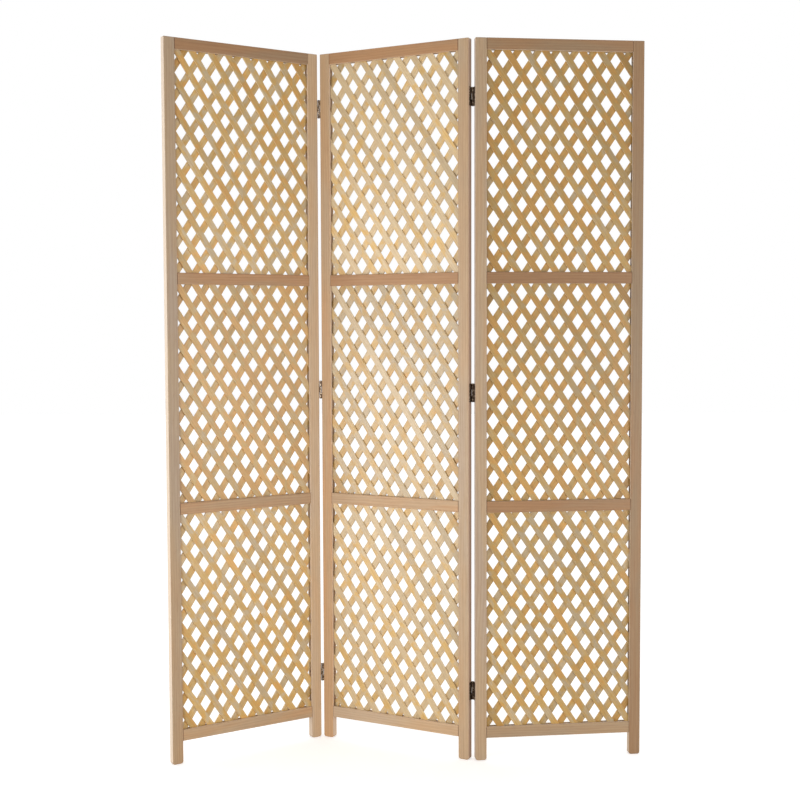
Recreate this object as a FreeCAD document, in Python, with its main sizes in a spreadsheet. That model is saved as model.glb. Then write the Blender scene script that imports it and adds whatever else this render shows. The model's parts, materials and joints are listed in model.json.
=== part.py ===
import FreeCAD, Part
import os
import Sketcher

# A free-standing folding screen of three wooden lattice panels, hinged in a zigzag.
# X runs from left to right, Y away from the viewer, Z up. Lengths are millimetres,
# angles degrees. The origin is on the floor, under the middle of the standing screen.

doc = FreeCAD.newDocument("folding_screen")

# The driving dimensions. Each one can be changed by itself.
driving_sizes = {
    # One panel, seen square on, and the wood that its frame is made of.
    "panel_height": 1700.0,
    "panel_width": 402.0,
    "stock_width": 27.0,
    "stock_thickness": 18.0,
    "foot_height": 53.5,
    "foot_side_round": 6.0,
    "foot_face_round": 3.0,
    "edge_bevel": 1.2,
    # The lattice: two layers of slanting laths, and the groove that holds their ends.
    "diamond_pitch": 44.8,
    "diamond_row": 33.5,
    "lath_width": 16.0,
    "lath_thickness": 4.0,
    "groove_depth": 6.0,
    "groove_play": 0.1,
    "lath_end_play": 0.3,
    # The stub tenons at the ends of the rails.
    "tenon_length": 15.0,
    "tenon_ledge": 1.0,
    "mortise_play": 0.1,
    # The butt hinges between the panels.
    "panel_gap": 6.0,
    "pin_stand_off": 0.6,
    "leaf_height": 44.0,
    "leaf_reach": 14.0,
    "leaf_thickness": 1.3,
    "knuckle_count": 3.0,
    "knuckle_play": 0.3,
    "pin_diameter": 2.8,
    "pin_play": 0.05,
    "pin_proud": 0.6,
    "top_hinge_drop": 133.0,
    "bottom_hinge_rise": 165.0,
    # The countersunk screws that hold the leaves. The land is the straight wall that is
    # left under a countersink.
    "screws_per_leaf": 2.0,
    "screw_length": 12.0,
    "screw_shank": 2.8,
    "screw_play": 0.05,
    "screw_land": 0.1,
    "screw_margin": 9.0,
    # How the screen stands: the fold of each joint away from flat, and the turn of
    # the middle panel against the X axis.
    "left_fold": 60.6,
    "right_fold": 34.6,
    "middle_turn": 27.7,
    # How far a cutting outline runs past the wood.
    "overrun": 5.0,
}

# Sizes that follow from the driving ones, as formulas of the sheet.
derived_sizes = {
    "rail_length": "panel_width - 2 * stock_width",
    "rail_count": "4",
    "section_height": "(panel_height - foot_height - rail_count * stock_width) / (rail_count - 1)",
    "rail_pitch": "section_height + stock_width",
    "lath_seat": "groove_depth - lath_end_play",
    "lattice_width": "rail_length + 2 * lath_seat",
    "lattice_height": "section_height + 2 * lath_seat",
    "lattice_thickness": "2 * lath_thickness",
    "groove_width": "lattice_thickness + 2 * groove_play",
    "lath_lean": "lattice_height * diamond_pitch / (2 * diamond_row)",
    "lath_slant": "atan(2 * diamond_row / diamond_pitch)",
    "lath_cut": "lath_width / sin(lath_slant)",
    "tenon_shoulder": "groove_depth + tenon_ledge",
    "tenon_height": "stock_width - 2 * tenon_shoulder",
    "mortise_depth": "tenon_length + mortise_play",
    "pin_to_edge": "panel_gap / 2",
    "knuckle_radius": "pin_to_edge - knuckle_play",
    "bore_radius": "pin_diameter / 2 + pin_play",
    "leaf_inner_face": "pin_to_edge - leaf_thickness",
    "knuckle_pitch": "leaf_height / knuckle_count",
    "screw_row": "(knuckle_radius + knuckle_play + leaf_reach) / 2",
    "screw_spacing": "(leaf_height - 2 * screw_margin) / (screws_per_leaf - 1)",
    "head_depth": "leaf_thickness - screw_land",
    "barrel_start": "acos(leaf_inner_face / knuckle_radius)",
}

sheet = doc.addObject("Spreadsheet::Sheet", "dims")
for row, (alias, size) in enumerate(driving_sizes.items(), start=1):
    sheet.set(f"A{row}", alias)
    sheet.set(f"B{row}", str(size))
    sheet.setAlias(f"B{row}", alias)
for row, (alias, formula) in enumerate(derived_sizes.items(), start=1):
    sheet.set(f"D{row}", alias)
    sheet.set(f"E{row}", "=" + formula)
    sheet.setAlias(f"E{row}", alias)
doc.recompute()


def value(formula):
    """The number that a formula of the sheet's names stands for."""
    result = sheet.evalExpression(formula)
    return float(getattr(result, "Value", result))


def named(formula):
    """A formula of bare names, written so that another object can read it."""
    words = set(driving_sizes) | set(derived_sizes)
    parts = []
    word = ""
    for letter in formula + " ":
        if letter.isalnum() or letter == "_":
            word += letter
            continue
        parts.append("dims." + word if word in words else word)
        parts.append(letter)
        word = ""
    return "".join(parts).strip()


# Sketching helpers.

def origin_feature(body, role):
    """The plane or axis of a body's own origin that has this role."""
    for feature in body.Origin.OriginFeatures:
        if feature.Role == role:
            return feature
    raise ValueError(role)


def new_sketch(body, name, role, height="0"):
    """A sketch on one of the body's own planes, lifted off it by a height."""
    sketch = body.newObject("Sketcher::SketchObject", name)
    sketch.AttachmentSupport = [(origin_feature(body, role), "")]
    sketch.MapMode = "FlatFace"
    sketch.setExpression("AttachmentOffset.Base.z", named(height))
    return sketch


def bind(sketch, kind, geometry, formula):
    """A dimension of the sketch, driven by the sheet."""
    index = sketch.addConstraint(Sketcher.Constraint(kind, *geometry, value(formula)))
    sketch.setExpression(f"Constraints[{index}]", named(formula))


def pin_down(sketch, edge, end, across, along):
    """Holds one end of an edge at a place given by two formulas."""
    axes = (("DistanceX", across, -2), ("DistanceY", along, -1))
    for kind, formula, axis in axes:
        if value(formula) == 0:
            sketch.addConstraint(Sketcher.Constraint("PointOnObject", edge, end, axis))
        elif value(formula) > 0:
            bind(sketch, kind, (-1, 1, edge, end), formula)
        else:
            bind(sketch, kind, (edge, end, -1, 1), f"-({formula})")


def outline(sketch, corners, centre=None, radius=None):
    """A closed outline through corners given as formulas.

    The edge that closes it, from the last corner to the first, is straight, or an arc
    that runs anticlockwise round a centre.
    """
    spots = [FreeCAD.Vector(value(across), value(along), 0) for across, along in corners]
    first = sketch.GeometryCount
    last = first + len(corners) - 1
    for near, far in zip(spots, spots[1:]):
        sketch.addGeometry(Part.LineSegment(near, far), False)
    if centre:
        hub = FreeCAD.Vector(value(centre[0]), value(centre[1]), 0)
        ring = Part.Circle(hub, FreeCAD.Vector(0, 0, 1), value(radius))
        sketch.addGeometry(Part.ArcOfCircle(ring, ring.parameter(spots[-1]), ring.parameter(spots[0])), False)
    else:
        sketch.addGeometry(Part.LineSegment(spots[-1], spots[0]), False)
    for edge in range(first, last):
        sketch.addConstraint(Sketcher.Constraint("Coincident", edge, 2, edge + 1, 1))
    sketch.addConstraint(Sketcher.Constraint("Coincident", last, 2, first, 1))
    for edge, (across, along) in enumerate(corners[:-1], start=first):
        pin_down(sketch, edge, 1, across, along)
    pin_down(sketch, last - 1, 2, *corners[-1])
    if centre:
        bind(sketch, "Radius", (last,), radius)


def rectangle(sketch, left, low, width, height):
    """An upright rectangle, from its lower left corner."""
    right = f"{left} + {width}"
    high = f"{low} + {height}"
    outline(sketch, [(left, low), (right, low), (right, high), (left, high)])


def circle(sketch, across, along, radius):
    """A circle round a place given by two formulas."""
    centre = FreeCAD.Vector(value(across), value(along), 0)
    axis = FreeCAD.Vector(0, 0, 1)
    index = sketch.addGeometry(Part.Circle(centre, axis, value(radius)), False)
    pin_down(sketch, index, 3, across, along)
    bind(sketch, "Radius", (index,), radius)


def octagon(sketch, across, along, half_width):
    """A regular octagon round a place, measured from there to its flats."""
    corners = []
    for side in range(8):
        turn = 45 * side
        corners.append((
            f"{across} + ({half_width}) / cos(22.5) * cos({turn})",
            f"{along} + ({half_width}) / cos(22.5) * sin({turn})",
        ))
    outline(sketch, corners)


# Solid helpers.

def new_body(label):
    body = doc.addObject("PartDesign::Body", label)
    body.Label = label
    return body


def pad(body, sketch, length, reverse=False):
    feature = body.newObject("PartDesign::Pad", sketch.Name + "_pad")
    feature.Profile = sketch
    feature.Reversed = reverse
    feature.setExpression("Length", named(length))
    return feature


def pocket(body, sketch, depth=None, reverse=False):
    """A cut to a depth, or right through where no depth is given."""
    feature = body.newObject("PartDesign::Pocket", sketch.Name + "_pocket")
    feature.Profile = sketch
    feature.Reversed = reverse
    if depth is None:
        feature.Type = "ThroughAll"
    else:
        feature.setExpression("Length", named(depth))
    return feature


def repeat(body, feature, role, pitch, count):
    """A row of copies of a feature along one of the body's axes."""
    pattern = body.newObject("PartDesign::LinearPattern", feature.Name + "_row")
    pattern.Originals = [feature]
    pattern.Direction = (origin_feature(body, role), [""])
    pattern.setExpression("Length", named(f"({count} - 1) * ({pitch})"))
    pattern.setExpression("Occurrences", named(count))
    body.Tip = pattern
    return pattern


def flat(low, high):
    """Whether two coordinates agree."""
    return abs(high - low) < Part.Precision.confusion()


def bevel_edges(body, base, wanted):
    """Eases the edges of a feature that the wanted test picks."""
    doc.recompute()
    names = []
    for index, edge in enumerate(base.Shape.Edges, start=1):
        if wanted(edge.BoundBox):
            names.append(f"Edge{index}")
    feature = body.newObject("PartDesign::Chamfer", base.Name + "_bevel")
    feature.Base = (base, names)
    feature.setExpression("Size", named("edge_bevel"))
    return feature


# The frame of a panel. A member lies in its own frame: X across, Y from the front face
# to the back face, Z up.

def round_foot(sketch, across, radius):
    """Two cutters that round the lower corners of a blank that is so far across."""
    for edge, inward, turned in (("0", "", False), (across, "-", True)):
        inner = f"{edge} + ({inward}{radius})"
        outer = f"{edge} - ({inward}overrun)"
        corners = [(inner, "0"), (inner, "-overrun"), (outer, "-overrun"), (outer, radius), (edge, radius)]
        if turned:
            corners.reverse()
        outline(sketch, corners, (inner, radius), radius)


def make_stile(label):
    """An upright, with its outer edge at X = 0 and its foot on the floor."""
    body = new_body(label)
    section = new_sketch(body, label + "_section", "XY_Plane")
    rectangle(section, "0", "0", "stock_width", "stock_thickness")
    blank = pad(body, section, "panel_height")
    bevel_edges(body, blank, lambda box: box.ZMax > 0)

    # The foot is rounded off on its sides and, less, on its faces.
    sides = new_sketch(body, label + "_foot_sides", "XZ_Plane")
    round_foot(sides, "stock_width", "foot_side_round")
    pocket(body, sides)
    faces = new_sketch(body, label + "_foot_faces", "YZ_Plane")
    round_foot(faces, "stock_thickness", "foot_face_round")
    pocket(body, faces, reverse=True)

    # One stopped groove takes the lattice, and four mortises in it take the rails.
    groove = new_sketch(body, label + "_groove", "YZ_Plane", "stock_width")
    rectangle(groove, "(stock_thickness - groove_width) / 2", "foot_height + tenon_shoulder",
              "groove_width", "panel_height - foot_height - 2 * tenon_shoulder")
    pocket(body, groove, "groove_depth")
    mortise = new_sketch(body, label + "_mortise", "YZ_Plane", "stock_width")
    rectangle(mortise, "(stock_thickness - groove_width) / 2", "foot_height + tenon_shoulder - mortise_play",
              "groove_width", "tenon_height + 2 * mortise_play")
    doc.recompute()
    repeat(body, pocket(body, mortise, "mortise_depth"), "Z_Axis", "rail_pitch", "rail_count")
    return body


def make_rail(label, grooved_edges):
    """A cross member between the stiles, with a stub tenon at each end.

    Its shoulders are at X = 0 and at its length, and its lower edge is at Z = 0.
    """
    body = new_body(label)
    section = new_sketch(body, label + "_section", "YZ_Plane")
    rectangle(section, "0", "0", "stock_thickness", "stock_width")
    blank = pad(body, section, "rail_length")
    bevel_edges(body, blank, lambda box: box.XMin <= 0 and box.XMax > 0)

    tenon = new_sketch(body, label + "_tenon", "YZ_Plane", "-tenon_length")
    rectangle(tenon, "(stock_thickness - lattice_thickness) / 2", "tenon_shoulder",
              "lattice_thickness", "tenon_height")
    pad(body, tenon, "rail_length + 2 * tenon_length")

    for edge in grooved_edges:
        groove = new_sketch(body, f"{label}_{edge}_groove", "YZ_Plane")
        low = "0" if edge == "lower" else "stock_width - groove_depth"
        rectangle(groove, "(stock_thickness - groove_width) / 2", low, "groove_width", "groove_depth")
        pocket(body, groove, reverse=True)
    return body


# The lattice of a section: a front layer of laths that lean to the left and a back layer
# that lean to the right, clipped together to the size that fits in the grooves. Its own
# frame has the origin in the middle of the section, on the front face of the layer.

def lath_count():
    """How many laths of one layer show in a section."""
    reach = value("rail_length / 2 + section_height * diamond_pitch / (4 * diamond_row) + lath_cut / 2")
    return 2 * int(reach / value("diamond_pitch")) + 1


def make_lath_layer(label, lean):
    """One layer of parallel laths. A lean of -1 is to the left, of 1 to the right."""
    body = new_body(label + "_laths")
    face = new_sketch(body, label + "_lath", "XZ_Plane")
    middle = f"-({lath_count()} - 1) / 2 * diamond_pitch"
    shift = f"{lean} * lath_lean / 2"
    outline(face, [
        (f"{middle} - {shift} - lath_cut / 2", "-lattice_height / 2"),
        (f"{middle} - {shift} + lath_cut / 2", "-lattice_height / 2"),
        (f"{middle} + {shift} + lath_cut / 2", "lattice_height / 2"),
        (f"{middle} + {shift} - lath_cut / 2", "lattice_height / 2"),
    ])
    first = pad(body, face, "lath_thickness", reverse=True)
    doc.recompute()
    repeat(body, first, "X_Axis", "diamond_pitch", str(lath_count()))

    clip = doc.addObject("Part::Box", label + "_clip")
    clip.setExpression("Length", named("lattice_width"))
    clip.setExpression("Width", named("lath_thickness"))
    clip.setExpression("Height", named("lattice_height"))
    clip.setExpression("Placement.Base.x", named("-lattice_width / 2"))
    clip.setExpression("Placement.Base.z", named("-lattice_height / 2"))
    layer = doc.addObject("Part::Common", label)
    layer.Label = label
    layer.Base = body
    layer.Tool = clip
    return layer


# The hinges. A leaf has the pin's axis on its own Z axis, its screwed face at
# X = pin_to_edge, and its plate running along +Y.

# What repeats most has few faces: a barrel is a prism of many sides round its true bore,
# and a screw is a prism of eight, with a tapered head that fits its countersink.
barrel_sides = 20


def make_leaf(label, kept):
    """A hinge leaf: a plate with a rolled barrel, which keeps the kept knuckles."""
    body = new_body(label)
    section = new_sketch(body, label + "_section", "XY_Plane")
    corners = [("pin_to_edge", "0"), ("pin_to_edge", "leaf_reach"), ("leaf_inner_face", "leaf_reach")]
    for side in range(barrel_sides):
        turn = f"barrel_start + (360 deg - barrel_start) * {side} / {barrel_sides}"
        corners.append((f"knuckle_radius * cos({turn})", f"knuckle_radius * sin({turn})"))
    corners.append(("knuckle_radius", "0"))
    outline(section, corners)
    circle(section, "0", "0", "bore_radius")
    pad(body, section, "leaf_height")

    # Slots for the knuckles of the other leaf, with some play at each end of a slot.
    slots = new_sketch(body, label + "_slots", "YZ_Plane")
    count = int(value("knuckle_count"))
    for index in range(count):
        if index in kept:
            continue
        low = f"{index} * knuckle_pitch - knuckle_play / 2"
        high = f"{index + 1} * knuckle_pitch + knuckle_play / 2"
        if index == 0:
            low = "-overrun"
        if index == count - 1:
            high = "leaf_height + overrun"
        near = "-knuckle_radius - overrun"
        far = "knuckle_radius + knuckle_play"
        outline(slots, [(near, low), (far, low), (far, high), (near, high)])
    cut = pocket(body, slots)
    cut.Midplane = True

    # Screw holes, countersunk from the inner face.
    holes = new_sketch(body, label + "_holes", "YZ_Plane", "leaf_inner_face")
    for index in range(int(value("screws_per_leaf"))):
        rise = f"screw_margin + {index} * screw_spacing"
        octagon(holes, "screw_row", rise, "screw_shank / 2 + screw_play")
    drilled = pocket(body, holes, "leaf_thickness", reverse=True)
    doc.recompute()
    inner = value("leaf_inner_face")
    row = value("screw_row")
    reach = value("screw_shank")
    rims = []
    for index, edge in enumerate(drilled.Shape.Edges, start=1):
        box = edge.BoundBox
        if flat(box.XMin, inner) and flat(box.XMax, inner) and row - reach < box.YMin and box.YMax < row + reach:
            rims.append(f"Edge{index}")
    sink = body.newObject("PartDesign::Chamfer", label + "_sinks")
    sink.Base = (drilled, rims)
    sink.setExpression("Size", named("head_depth"))
    return body


def make_pin(label):
    """A hinge pin on its own Z axis, a little longer than the barrel."""
    pin = doc.addObject("Part::Cylinder", label)
    pin.Label = label
    pin.setExpression("Radius", named("pin_diameter / 2"))
    pin.setExpression("Height", named("leaf_height + 2 * pin_proud"))
    return pin


def make_screw(label):
    """A countersunk screw on its own Z axis, its head's face at Z = 0, its tip above.

    Its head is flush with the leaf, and its shank bites straight into the soft wood.
    """
    body = new_body(label)
    head = new_sketch(body, label + "_head", "XY_Plane")
    octagon(head, "0", "0", "screw_shank / 2 + head_depth")
    straight = pad(body, head, "head_depth")
    doc.recompute()
    sides = []
    for index, face in enumerate(straight.Shape.Faces, start=1):
        if face.BoundBox.ZLength > value("head_depth") / 2:
            sides.append(f"Face{index}")
    tapered = body.newObject("PartDesign::Draft", label + "_taper")
    tapered.Base = (straight, sides)
    tapered.NeutralPlane = (origin_feature(body, "XY_Plane"), [""])
    tapered.Angle = 45
    shank = new_sketch(body, label + "_shank", "XY_Plane")
    octagon(shank, "0", "0", "screw_shank / 2")
    pad(body, shank, "screw_length")
    return body


# Places. A panel's own frame has its origin at the foot of its front left edge.

def place(x, y, z, turn=0.0, axis=(0, 0, 1)):
    return FreeCAD.Placement(FreeCAD.Vector(x, y, z), FreeCAD.Rotation(FreeCAD.Vector(*axis), turn))


width = value("panel_width")
thickness = value("stock_thickness")
gap = value("panel_gap")
stand_off = value("pin_stand_off")

# The pins, in a panel's own frame. The left joint folds the front faces together, so its
# pins stand before the front faces. The right joint's pins stand behind the back faces.
pin_left_of_panel = {"left": (-gap / 2, -stand_off), "right": (-gap / 2, thickness + stand_off)}
pin_right_of_panel = {"left": (width + gap / 2, -stand_off), "right": (width + gap / 2, thickness + stand_off)}


def hang(panel_pin, turn, world_pin):
    """Places a panel, turned about Z, so that a pin of its own frame meets a world pin."""
    turned = place(0, 0, 0, turn)
    arm = turned.multVec(FreeCAD.Vector(*panel_pin, 0))
    return place(world_pin.x - arm.x, world_pin.y - arm.y, 0, turn)


middle_turn = -value("middle_turn")
panels = {"middle": place(0, 0, 0, middle_turn)}
left_pin = panels["middle"].multVec(FreeCAD.Vector(*pin_left_of_panel["left"], 0))
right_pin = panels["middle"].multVec(FreeCAD.Vector(*pin_right_of_panel["right"], 0))
panels["left"] = hang(pin_right_of_panel["left"], middle_turn + value("left_fold"), left_pin)
panels["right"] = hang(pin_left_of_panel["right"], middle_turn + value("right_fold"), right_pin)


def plan_extent(panel):
    """The least and greatest X and Y that a panel reaches, with its edges bevelled."""
    bevel = value("edge_bevel")
    corners = []
    for x in (0, width):
        for y in (0, thickness):
            inward_x = bevel if x == 0 else -bevel
            inward_y = bevel if y == 0 else -bevel
            corners.append(panel.multVec(FreeCAD.Vector(x + inward_x, y, 0)))
            corners.append(panel.multVec(FreeCAD.Vector(x, y + inward_y, 0)))
    xs = [corner.x for corner in corners]
    ys = [corner.y for corner in corners]
    return min(xs), max(xs), min(ys), max(ys)


extents = [plan_extent(panel) for panel in panels.values()]
middle_x = (min(e[0] for e in extents) + max(e[1] for e in extents)) / 2
middle_y = (min(e[2] for e in extents) + max(e[3] for e in extents)) / 2
for name, panel in panels.items():
    panels[name] = place(-middle_x, -middle_y, 0).multiply(panel)

# The lower end of each hinge's barrel, as a formula. The middle hinge is centred on the
# middle section.
hinge_heights = {
    "top": "panel_height - top_hinge_drop - leaf_height / 2",
    "middle": "foot_height + 1.5 * rail_pitch + stock_width / 2 - leaf_height / 2",
    "bottom": "bottom_hinge_rise - leaf_height / 2",
}

nodes = []


def add_node(item, placement):
    item.Placement = placement
    nodes.append(item)


# The three panels.
rails = {
    "bottom_rail": ("upper",),
    "lower_rail": ("lower", "upper"),
    "upper_rail": ("lower", "upper"),
    "top_rail": ("lower",),
}
for name, panel in panels.items():
    # A right stile is a left one turned half round.
    for side, local in (("left", place(0, 0, 0)), ("right", place(width, thickness, 0, 180))):
        add_node(make_stile(f"{name}_panel_{side}_stile"), panel.multiply(local))
    for index, (rail, edges) in enumerate(rails.items()):
        rise = value(f"foot_height + {index} * rail_pitch")
        local = place(value("stock_width"), 0, rise)
        add_node(make_rail(f"{name}_panel_{rail}", edges), panel.multiply(local))
    for index, section in enumerate(("bottom", "middle", "top")):
        rise = value(f"foot_height + stock_width + section_height / 2 + {index} * rail_pitch")
        for layer, lean in (("front", -1), ("back", 1)):
            depth = thickness / 2 if layer == "back" else thickness / 2 - value("lath_thickness")
            laths = make_lath_layer(f"{name}_panel_{section}_lattice_{layer}", lean)
            add_node(laths, panel.multiply(place(width / 2, depth, rise)))

# The hinges. The middle panel's leaves keep the outer knuckles and carry the pins.
inner_knuckles = range(0, int(value("knuckle_count")), 2)
outer_knuckles = range(1, int(value("knuckle_count")), 2)
screw = make_screw("screw")
leaf_places = {
    # joint, leaf: panel, pin of that panel, turn of the leaf and the axis of that turn
    ("left", "outer"): ("left", pin_right_of_panel["left"], 180, (0, 1, 0)),
    ("left", "inner"): ("middle", pin_left_of_panel["left"], 0, (0, 0, 1)),
    ("right", "inner"): ("middle", pin_right_of_panel["right"], 180, (0, 0, 1)),
    ("right", "outer"): ("right", pin_left_of_panel["right"], 180, (1, 0, 0)),
}
for (joint, leaf), (name, pin, turn, axis) in leaf_places.items():
    kept = inner_knuckles if leaf == "inner" else outer_knuckles
    screws = []
    for level, height in hinge_heights.items():
        low = value(height)
        if axis != (0, 0, 1):
            low += value("leaf_height")
        seat = panels[name].multiply(place(*pin, low, turn, axis))
        hinge = f"{joint}_{level}_hinge"
        add_node(make_leaf(f"{hinge}_{leaf}_leaf", kept), seat)
        if leaf == "inner":
            foot = place(*pin, value(f"{height} - pin_proud"))
            add_node(make_pin(f"{hinge}_pin"), panels[name].multiply(foot))
        for index in range(int(value("screws_per_leaf"))):
            rise = value(f"screw_margin + {index} * screw_spacing")
            hole = place(value("leaf_inner_face"), value("screw_row"), rise, 90, (0, 1, 0))
            copy = doc.addObject("App::Link", f"{hinge}_{leaf}_screw_{index + 1}")
            copy.LinkedObject = screw
            copy.Placement = seat.multiply(hole)
            screws.append(copy)
    group = doc.addObject("Part::Compound", f"{joint}_hinge_{leaf}_screws")
    group.Label = f"{joint}_hinge_{leaf}_screws"
    group.Links = screws
    nodes.append(group)

doc.recompute()

# Every object has to be sound before anything is written.
for item in doc.Objects:
    if "Invalid" in item.State or "Error" in item.State:
        raise RuntimeError(f"{item.Label} did not build")
for item in nodes:
    if item.Shape.isNull() or not item.Shape.isValid():
        raise RuntimeError(f"{item.Label} has no sound shape")

os.makedirs("parts", exist_ok=True)
for item in nodes:
    item.Shape.exportStep(f"parts/{item.Label}.step")
print(len(nodes), "nodes,", sum(len(item.Shape.Solids) for item in nodes), "solids")
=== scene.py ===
# %% [markdown]
# A folding screen of three wooden lattice panels.
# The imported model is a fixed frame: it says where each piece is and how the panels turn on
# their hinges. This script dresses it. Each rail, stile, lath and hinge is modelled again
# with softer edges, and gets a finish that is painted by nodes alone.

# %% Load the frame
import json
import math
import random

import bmesh
import bpy
from mathutils import Matrix, Vector


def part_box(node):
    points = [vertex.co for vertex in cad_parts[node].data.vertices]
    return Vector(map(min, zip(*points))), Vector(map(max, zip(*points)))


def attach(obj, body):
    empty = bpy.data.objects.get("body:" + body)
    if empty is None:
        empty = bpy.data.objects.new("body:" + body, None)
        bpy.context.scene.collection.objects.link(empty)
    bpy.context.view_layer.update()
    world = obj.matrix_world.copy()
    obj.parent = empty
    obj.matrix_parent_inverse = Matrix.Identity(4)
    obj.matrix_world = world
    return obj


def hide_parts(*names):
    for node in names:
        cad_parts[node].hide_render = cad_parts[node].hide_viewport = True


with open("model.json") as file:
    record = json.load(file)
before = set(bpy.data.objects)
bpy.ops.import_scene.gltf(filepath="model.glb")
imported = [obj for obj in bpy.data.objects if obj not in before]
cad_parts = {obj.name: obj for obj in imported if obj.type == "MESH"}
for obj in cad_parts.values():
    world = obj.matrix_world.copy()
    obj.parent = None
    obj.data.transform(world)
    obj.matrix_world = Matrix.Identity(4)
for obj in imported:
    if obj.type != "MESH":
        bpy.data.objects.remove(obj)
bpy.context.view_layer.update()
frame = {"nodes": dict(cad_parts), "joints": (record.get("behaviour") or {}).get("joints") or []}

# %% [markdown]
# The three panels stand at an angle to each other, so nothing lines up with the world's own
# axes. Each panel gets a frame of its own: X across it, Y through it from front to back, and
# Z up. It could be typed in, but it is safer to measure it. The boxes of a panel's two stiles
# are alike, so the line between their middles is the panel's X axis.

# %% Measure where each panel stands
MM = 0.001
panel_names = ("left", "middle", "right")


def middle_of(node):
    """The middle of a node's box."""
    low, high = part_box(node)
    return (low + high) / 2


def panel_frame(name):
    """The matrix that carries a panel's own frame into the world."""
    left = middle_of(f"{name}_panel_left_stile")
    right = middle_of(f"{name}_panel_right_stile")
    turn = math.atan2(right.y - left.y, right.x - left.x)
    centre = (left + right) / 2
    return Matrix.Translation((centre.x, centre.y, 0)) @ Matrix.Rotation(turn, 4, "Z")


panels = {name: panel_frame(name) for name in panel_names}


def own_box(node, panel):
    """The lowest and highest corner of a node, measured in a panel's own frame."""
    to_panel = panel.inverted()
    points = [to_panel @ vertex.co for vertex in frame["nodes"][node].data.vertices]
    low = Vector([min(point[axis] for point in points) for axis in range(3)])
    high = Vector([max(point[axis] for point in points) for axis in range(3)])
    return low, high


stile_low, stile_high = own_box("middle_panel_right_stile", panels["middle"])
print("a stile is", [round(size / MM, 1) for size in stile_high - stile_low], "mm")

# %% [markdown]
# The camera comes first, because the light and the colours are judged through it. Its place
# was worked out from the straight edges of the panels, as seen from the front right foot of
# the middle panel. The picture is 800 by 800, and the lens is given in those pixels.

# %% Set the camera
picture_side = 800
lens_in_pixels = 1313.87
sensor_width = 36.0
camera_from_foot = Vector((-150.17, -3078.76, 1038.07)) * MM
camera_turns = {"Z": 0.1953, "X": -3.2909, "Y": 0.1892}

front_right_foot = panels["middle"] @ Vector((stile_high.x, stile_low.y, 0))
camera_data = bpy.data.cameras.new("camera")
camera_data.sensor_fit = "HORIZONTAL"
camera_data.sensor_width = sensor_width
camera_data.lens = sensor_width * lens_in_pixels / picture_side
camera = bpy.data.objects.new("camera", camera_data)
bpy.context.scene.collection.objects.link(camera)
aim = Matrix.Identity(3)
for axis, degrees in camera_turns.items():
    aim = aim @ Matrix.Rotation(math.radians(degrees), 3, axis)
aim = aim @ Matrix.Rotation(math.radians(90), 3, "X")
camera.matrix_world = Matrix.Translation(front_right_foot + camera_from_foot) @ aim.to_4x4()
bpy.context.scene.camera = camera
print("the lens is", round(camera_data.lens, 2), "mm")

# %% [markdown]
# Wood is painted in its own grain space. Every piece carries three attributes on its points:
# grain holds metres along, across and through the piece, section runs from -1 to 1 over its
# width and its thickness, and board holds how light and how warm its timber is, and a third
# value: above zero it darkens, as dust at the ends of the rails and as painted shade, and below
# zero it paints the wood pale, as raw wood in the grooves and as painted light. A pattern that
# reads them follows the piece, however it leans, and no two pieces look alike. The wood is
# painted a little paler near the floor and darker higher up, as painted light.

# %% Store grain space on a mesh
dice = random.Random(27)
grain_spread = 40.0
screen_height = 1.7
floor_light_paint = 1.08
painted_light_fade = 0.1


def mark_wood(bm, centre, along, across, through, halves, light, warm, dust_and_painted_light=None):
    """Writes grain space on the points of one piece of wood."""
    grain, section, board = (
        bm.verts.layers.float_vector.new(name) for name in ("grain", "section", "board"))
    start = Vector([dice.uniform(0, grain_spread) for _ in range(3)])
    warm_top, warm_floor = warm if isinstance(warm, tuple) else (warm, warm)
    for vertex in bm.verts:
        arm = vertex.co - centre
        place = Vector((arm.dot(along), arm.dot(across), arm.dot(through)))
        vertex[grain] = place + start
        vertex[section] = Vector((place.y / halves.y, place.z / halves.z, 0))
        # Painted light: the wood is paler near the floor and darker higher up.
        painted_floor_light = floor_light_paint - painted_light_fade * vertex.co.z
        height = vertex.co.z / screen_height
        warmth = warm_floor + (warm_top - warm_floor) * height
        vertex[board] = Vector((light * painted_floor_light, warmth, dust_and_painted_light(vertex.co) if dust_and_painted_light else 0))


def finish_piece(name, bm, matrix, material, body, node):
    """Makes an object of a bmesh, hangs it on its body and lets it stand for its node."""
    bmesh.ops.transform(bm, matrix=matrix, verts=bm.verts)
    bmesh.ops.recalc_face_normals(bm, faces=bm.faces)
    mesh = bpy.data.meshes.new(name)
    bm.to_mesh(mesh)
    bm.free()
    mesh.materials.append(material)
    piece = bpy.data.objects.new(name, mesh)
    bpy.context.scene.collection.objects.link(piece)
    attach(piece, body)
    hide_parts(node)


# %% [markdown]
# Node trees are easier to read when one line makes one node. The first helper adds a node,
# sets its options, and fills its inputs with a value or with a link. The others are short
# names for the nodes that are used most.

# %% Helpers for node trees
def add(tree, kind, options=None, inputs=None):
    """A new node. An input is found by its name or number, and takes a value or a socket."""
    node = tree.nodes.new("ShaderNode" + kind)
    for name, option in (options or {}).items():
        setattr(node, name, option)
    for key, value in (inputs or {}).items():
        if isinstance(value, bpy.types.NodeSocket):
            tree.links.new(value, node.inputs[key])
        else:
            node.inputs[key].default_value = value
    return node


def calculate(tree, operation, *values):
    """The result of a Math node."""
    return add(tree, "Math", {"operation": operation}, dict(enumerate(values))).outputs[0]


def spread(tree, value, low, high, new_low=0.0, new_high=1.0):
    """A smooth step from one range to another."""
    inputs = {"Value": value, 1: low, 2: high, 3: new_low, 4: new_high}
    return add(tree, "MapRange", {"interpolation_type": "SMOOTHSTEP"}, inputs).outputs[0]


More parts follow.
